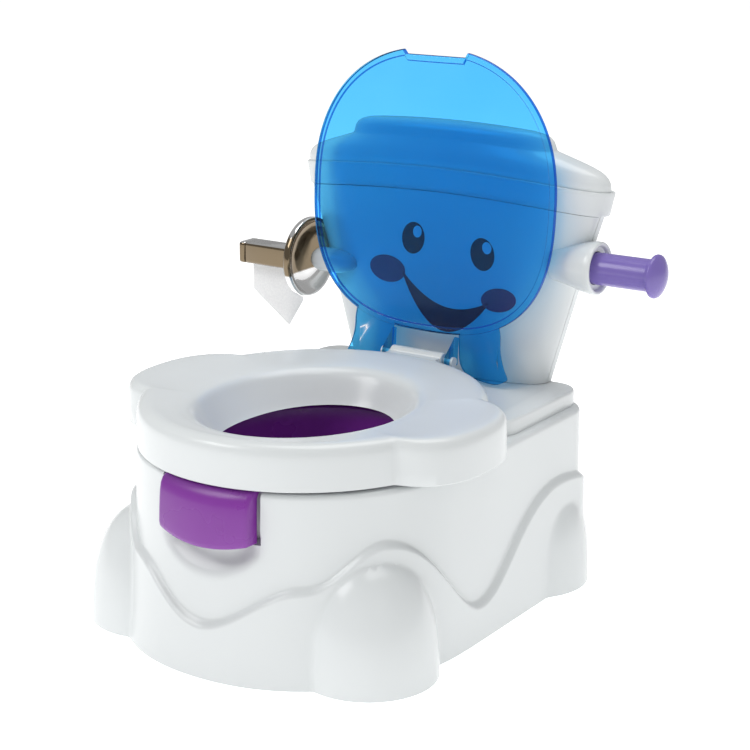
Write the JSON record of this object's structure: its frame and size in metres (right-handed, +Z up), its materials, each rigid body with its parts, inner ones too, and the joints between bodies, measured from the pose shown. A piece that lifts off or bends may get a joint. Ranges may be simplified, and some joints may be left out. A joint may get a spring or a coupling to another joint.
{
  "type": "potty training chair",
  "caption": "Toddler potty shaped like a toilet: lift-off seat, pull-out bowl, translucent hinged lid, toy cistern with sprung plunger, and a paper holder.",
  "frame": {"origin": "middle of the footprint, on the floor", "axes": "+Z up, -Y towards the front of the seat, +X towards the side with the flush plunger"},
  "size_m": [0.384, 0.3478, 0.4059],
  "materials": {
    "white_plastic": "glossy moulded",
    "purple_plastic": "glossy moulded",
    "lavender_plastic": "glossy moulded",
    "clear_blue_plastic": "translucent moulded",
    "grey_rubber": "matte",
    "grey_plastic": "satin",
    "black_plastic": "satin",
    "board_green": "satin",
    "zinc_steel": "zinc plated",
    "battery_steel": "satin sleeve",
    "chrome_finish": "mirror plated",
    "paper": "matte"
  },
  "bodies": {
    "chair": {"base_shell": "white_plastic", "cistern_front_shell": "white_plastic", "cistern_rear_shell": "white_plastic", "cistern_cover": "white_plastic", "flush_collar": "white_plastic", "plunger_bridge": "white_plastic", "battery_door": "white_plastic", "holder_hub": "white_plastic", "cistern_screw_1": "zinc_steel", "cistern_screw_2": "zinc_steel", "cistern_screw_3": "zinc_steel", "cistern_screw_4": "zinc_steel", "foot_screw_1": "zinc_steel", "foot_screw_2": "zinc_steel", "plunger_spring": "zinc_steel", "battery_door_screw": "zinc_steel", "grip_pad_front_right": "grey_rubber", "grip_pad_front_left": "grey_rubber", "grip_pad_rear_right": "grey_rubber", "grip_pad_rear_left": "grey_rubber", "sound_board": "board_green", "tact_switch": "black_plastic", "speaker": "black_plastic", "battery_box": "grey_plastic", "battery_upper": "battery_steel", "battery_lower": "battery_steel", "holder_disc": "chrome_finish", "holder_bar": "chrome_finish", "paper_sheet": "paper"},
    "seat": {"seat_ring": "white_plastic", "hinge_pin_right": "white_plastic", "hinge_pin_left": "white_plastic"},
    "lid": {"lid": "clear_blue_plastic"},
    "bowl": {"bowl": "purple_plastic"},
    "plunger": {"flush_plunger": "lavender_plastic", "plunger_clip": "zinc_steel"}
  },
  "joints": [
    {"name": "seat_lift", "type": "slide", "parent": "chair", "child": "seat", "axis": [0, 0, 1], "range_m": [0, 0.12]},
    {"name": "bowl_lift", "type": "slide", "parent": "chair", "child": "bowl", "axis": [0, 0, 1], "range_m": [0, 0.06]},
    {"name": "lid_hinge", "type": "hinge", "parent": "seat", "child": "lid", "pos_m": [0, 0.112, 0.168], "axis": [1, 0, 0], "range_deg": [0, 93]},
    {"name": "flush_plunge", "type": "slide", "parent": "chair", "child": "plunger", "axis": [-1, 0, 0], "range_m": [0, 0.008], "stiffness_N_per_m": 400, "springref_m": -0.004, "deforming": ["plunger_spring"]}
  ],
  "couplings": [
    {"joint": "bowl_lift", "follows": "seat_lift", "ratio": 0.5}
  ]
}
